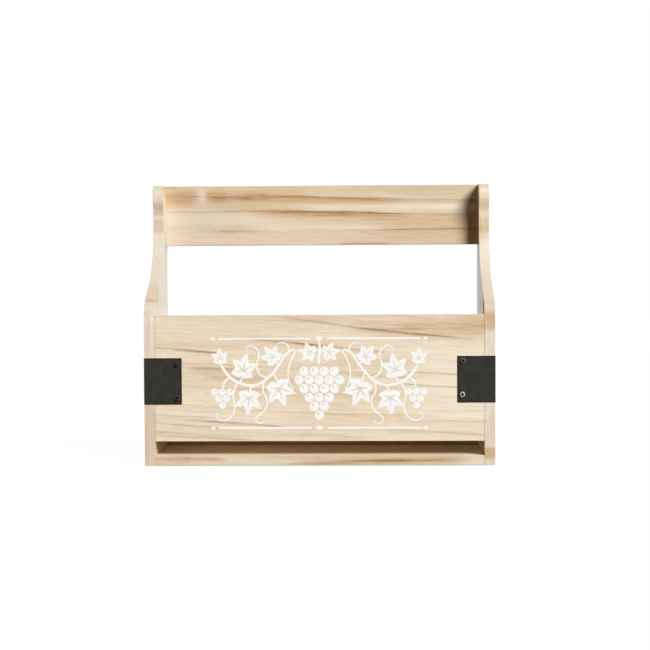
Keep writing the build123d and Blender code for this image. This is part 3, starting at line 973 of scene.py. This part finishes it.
def print_tree():
    """Fills the motifs, sets them on their places, draws the strokes and gives all thickness."""
    motifs = ("Leaf", "Berry", "Diamond")
    tree, wires, given, result = node_group(
        "screen_print",
        "GeometryNodeTree",
        {
            "Geometry": "Geometry",
            **{motif: "Object" for motif in motifs},
            **{motif + " Places": "Object" for motif in motifs},
            "Paint Height": "Float",
            "Board Face": "Vector",
            "Unit": "Float",
            "Paint": "Material",
        },
        {"Geometry": "Geometry"},
    )

    def shape_of(name):
        return wires.node("GeometryNodeObjectInfo", {"Object": given[name]}).outputs["Geometry"]

    def attribute(name):
        return wires.node("GeometryNodeInputNamedAttribute", {"Name": name}).outputs["Attribute"]

    flat = []
    for motif in motifs:
        filled = wires.node("GeometryNodeFillCurve", {"Curve": shape_of(motif)}).outputs["Mesh"]
        turn = wires.math("RADIANS", attribute("turn"))
        size = attribute("size")
        placed = wires.node(
            "GeometryNodeInstanceOnPoints",
            {
                "Points": shape_of(motif + " Places"),
                "Instance": filled,
                "Rotation": wires.joined(0.0, 0.0, turn),
                "Scale": wires.joined(wires.times(size, attribute("hand")), size, 1.0),
            },
        ).outputs["Instances"]
        flat.append(wires.node("GeometryNodeRealizeInstances", {"Geometry": placed}).outputs[0])
    nib = wires.node(
        "GeometryNodeCurvePrimitiveLine", {"Start": (-0.5, 0.0, 0.0), "End": (0.5, 0.0, 0.0)}
    )
    width = wires.node("GeometryNodeInputRadius").outputs[0]
    ribbons = wires.node(
        "GeometryNodeCurveToMesh",
        {"Curve": given["Geometry"], "Profile Curve": nib.outputs[0], "Scale": width},
    ).outputs["Mesh"]
    flat.append(ribbons)

    joined = wires.node("GeometryNodeJoinGeometry")
    for piece in flat:
        wires.tree.links.new(piece, joined.inputs[0])
    normal = wires.node("GeometryNodeInputNormal").outputs[0]
    down = wires.node(
        "FunctionNodeCompare",
        {"A": wires.split(normal)[2], "B": 0.0},
        data_type="FLOAT",
        operation="LESS_THAN",
    ).outputs[0]
    sheet = wires.node(
        "GeometryNodeFlipFaces", {"Mesh": joined.outputs[0], "Selection": down}
    ).outputs[0]
    raised = wires.node(
        "GeometryNodeExtrudeMesh",
        {
            "Mesh": sheet,
            "Offset": (0.0, 0.0, 1.0),
            "Offset Scale": given["Paint Height"],
            "Individual": False,
        },
    ).outputs["Mesh"]
    under = wires.node("GeometryNodeFlipFaces", {"Mesh": sheet}).outputs[0]
    whole = wires.node("GeometryNodeJoinGeometry")
    for piece in (under, raised):
        wires.tree.links.new(piece, whole.inputs[0])
    closed = wires.node(
        "GeometryNodeMergeByDistance", {"Geometry": whole.outputs[0], "Distance": MERGE_DISTANCE}
    ).outputs[0]
    layer = wires.node("GeometryNodeMeshBoolean", operation="UNION", solver="EXACT")
    wires.tree.links.new(closed, layer.inputs["Mesh 2"])
    layer.inputs["Self Intersection"].default_value = True
    stood = wires.node(
        "GeometryNodeTransform",
        {
            "Geometry": layer.outputs["Mesh"],
            "Translation": given["Board Face"],
            "Rotation": (math.pi / 2, 0.0, 0.0),
            "Scale": wires.joined(given["Unit"], given["Unit"], given["Unit"]),
        },
    ).outputs[0]
    real = wires.node("GeometryNodeRealizeInstances", {"Geometry": stood}).outputs[0]
    flat_shaded = wires.node(
        "GeometryNodeSetShadeSmooth", {0: real, "Shade Smooth": False}
    ).outputs[0]
    painted = wires.node(
        "GeometryNodeSetMaterial", {"Geometry": flat_shaded, "Material": given["Paint"]}
    ).outputs[0]
    wires.feed(result.inputs["Geometry"], painted)
    return tree


PAINT_WHITE = srgb(253, 253, 251)
PAINT_THIN = srgb(240, 236, 228)


def paint_material():
    """White paint that lies on the front board's fibres, thin or chipped in a few specks."""
    made, wires, shader = new_material("screen_paint")
    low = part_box("front_board")[0]
    place = wires.node("ShaderNodeTexCoord").outputs["Object"]
    along, through, across = wires.split(wires.scaled(wires.vector("SUBTRACT", place, low), 1 / MM))
    position = wires.joined(along, across, through)
    wood = wires.group(
        BOARD_GRAIN, {"Position": position, "Seed": FRONT_SEED, "Ring Spacing": RING_SPACING}
    )
    spread = wires.vector("MULTIPLY", wires.joined(along, across, 0.0), (0.35, 0.9, 1.0))
    cover = wires.noise(spread, 5.0, 0.62)
    thin = wires.ramp(cover, 0.56, 0.72)
    wires.feed(shader.inputs["Base Color"], wires.blend(thin, PAINT_WHITE, PAINT_THIN))
    chip = wires.plus(cover, wires.times(wood["Fibre"], 0.12))
    wires.feed(shader.inputs["Alpha"], wires.ramp(chip, 0.74, 0.80, 1.0, 0.0))
    wires.feed(shader.inputs["Roughness"], wires.ramp(wood["Fibre"], 0.2, 0.8, 0.55, 0.7))
    shader.inputs["Specular IOR Level"].default_value = 0.2
    relief(wires, shader, wood["Fibre"], 0.3, 0.06)
    return made


def screen_print():
    """The whole print as one mesh on the front board's face."""
    rules = [
        (RULE_WIDTH, RULE_WIDTH, RULE_WIDTH, (RULE_FROM, height), (RULE_TO, height))
        for height in (-RULE_HEIGHT, RULE_HEIGHT)
    ]
    strokes = stroke_object("strokes", mirrored_strokes([*VINE_STROKES, *rules]) + [STEM_STROKE])
    diamonds = []
    for height in (-RULE_HEIGHT, RULE_HEIGHT):
        diamonds.append((0.0, height, 0, MIDDLE_DIAMOND, 1))
        diamonds += mirrored([(END_DIAMOND_PLACE, height, 0, END_DIAMOND)])
    diamond = [(-1.0, 0.0), (0.0, DIAMOND_HEIGHT), (1.0, 0.0), (0.0, -DIAMOND_HEIGHT)]
    berries = [(*place, 1) for place in bunch_places(*MIDDLE_BUNCH)]
    berries += mirrored(bunch_places(*SIDE_BUNCH))
    glint_aside, glint_up, glint_radius = GLINT
    helpers = {
        "Leaf": outline_object("leaf", [leaf_outline(), vein_outline()]),
        "Berry": outline_object(
            "berry", [ring_outline(1.0), ring_outline(glint_radius, glint_aside, glint_up)]
        ),
        "Diamond": outline_object("diamond", [diamond]),
        "Leaf Places": places_object("leaf_places", mirrored(LEAVES)),
        "Berry Places": places_object("berry_places", berries),
        "Diamond Places": places_object("diamond_places", diamonds),
    }
    tree = print_tree()
    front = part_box("front_board")[0][1]
    values = {
        **helpers,
        "Paint Height": PAINT_TOP + PAINT_SUNK,
        "Board Face": (0.0, front + PAINT_SUNK * MM, PRINT_HEIGHT * MM),
        "Unit": MM,
        "Paint": paint_material(),
    }
    modifier = strokes.modifiers.new("screen_print", "NODES")
    modifier.node_group = tree
    for socket in tree.interface.items_tree:
        if socket.in_out == "INPUT" and socket.name in values:
            modifier[socket.identifier] = values[socket.name]
    bpy.context.view_layer.update()
    seen = strokes.evaluated_get(bpy.context.evaluated_depsgraph_get())
    mesh = bpy.data.meshes.new_from_object(seen)
    strokes.modifiers.clear()
    for helper in (strokes, *helpers.values()):
        bpy.data.objects.remove(helper, do_unlink=True)
    return add_object("front_print", mesh)


ornament = screen_print()
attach(ornament, "root")


# Camera, placed where the boards' edges fall as they do in the photograph
CAMERA_PLACE = Vector((48.91, -1603.05, 191.70)) * MM
CAMERA_YAW = 0.02766
CAMERA_PITCH = 0.03299
CAMERA_ROLL = -0.00508
CAMERA_LENS = 86.35

lens = bpy.data.cameras.new("camera")
lens.lens = CAMERA_LENS
camera = add_object("camera", lens)
camera.matrix_world = (
    Matrix.Translation(CAMERA_PLACE)
    @ Matrix.Rotation(CAMERA_YAW, 4, "Z")
    @ Matrix.Rotation(math.pi / 2 - CAMERA_PITCH, 4, "X")
    @ Matrix.Rotation(CAMERA_ROLL, 4, "Z")
)
bpy.context.scene.camera = camera

# Light: one large soft lamp in front, high on the right, and a white backdrop behind
LAMP_HEADING = Vector((-0.846, 1.0, -0.85))
LAMP_STRENGTH = 4.6
LAMP_ANGLE = math.radians(26)
FRONT_FILL = 0.0045
BACKDROP = 0.85
HIGH_BACKDROP = 0.12
FILL_TINT = (1.0, 0.72, 0.45, 1.0)
BACKDROP_TINT = (1.0, 0.96, 0.90, 1.0)
# How far a ray points to the rear where the backdrop sets in and where it is full, and how far
# up where it starts to fade and where it has faded
BACKDROP_START = (0.0, 0.25)
BACKDROP_FADE = (0.45, 0.8)

sun = bpy.data.lights.new("key_lamp", "SUN")
sun.energy = LAMP_STRENGTH
sun.angle = LAMP_ANGLE
lamp = add_object("key_lamp", sun)
lamp.rotation_mode = "QUATERNION"
lamp.rotation_quaternion = LAMP_HEADING.to_track_quat("-Z", "Y")


def seen_directly(wires):
    """1 for rays that come from the camera, a mirror-like surface or a clear one."""
    path = wires.node("ShaderNodeLightPath").outputs
    seen = wires.plus(path["Is Camera Ray"], path["Is Glossy Ray"])
    return wires.plus(seen, path["Is Transmission Ray"], clamp=True)


world = bpy.data.worlds.new("studio")
world.use_nodes = True
bpy.context.scene.world = world
wires = Wiring(world.node_tree)
heading = wires.split(wires.node("ShaderNodeTexCoord").outputs["Generated"])
behind = wires.ramp(heading[1], *BACKDROP_START)
tint = wires.blend(behind, FILL_TINT, BACKDROP_TINT)
backdrop = wires.ramp(heading[2], *BACKDROP_FADE, BACKDROP, HIGH_BACKDROP)
level = wires.plus(wires.times(behind, backdrop), FRONT_FILL)
studio = wires.scaled(tint, level)
color = wires.blend(seen_directly(wires), studio, WHITE)
wires.feed(world.node_tree.nodes["Background"].inputs["Color"], color)

# Floor
FLOOR_SIZE = 9.0
FLOOR_COLOR = (0.03, 0.03, 0.03, 1.0)
FLOOR_GLOW = 0.98
bpy.ops.mesh.primitive_plane_add(size=FLOOR_SIZE, location=(0, 0, 0))
floor = bpy.context.object
floor.name = "floor"
paper, wires, shader = new_material("floor_paper")
shader.inputs["Base Color"].default_value = FLOOR_COLOR
shader.inputs["Roughness"].default_value = 0.9
shader.inputs["Specular IOR Level"].default_value = 0.0
shader.inputs["Emission Color"].default_value = WHITE
glow = wires.times(seen_directly(wires), FLOOR_GLOW)
wires.feed(shader.inputs["Emission Strength"], glow)
floor.data.materials.append(paper)

bpy.context.scene.view_settings.view_transform = "Standard"
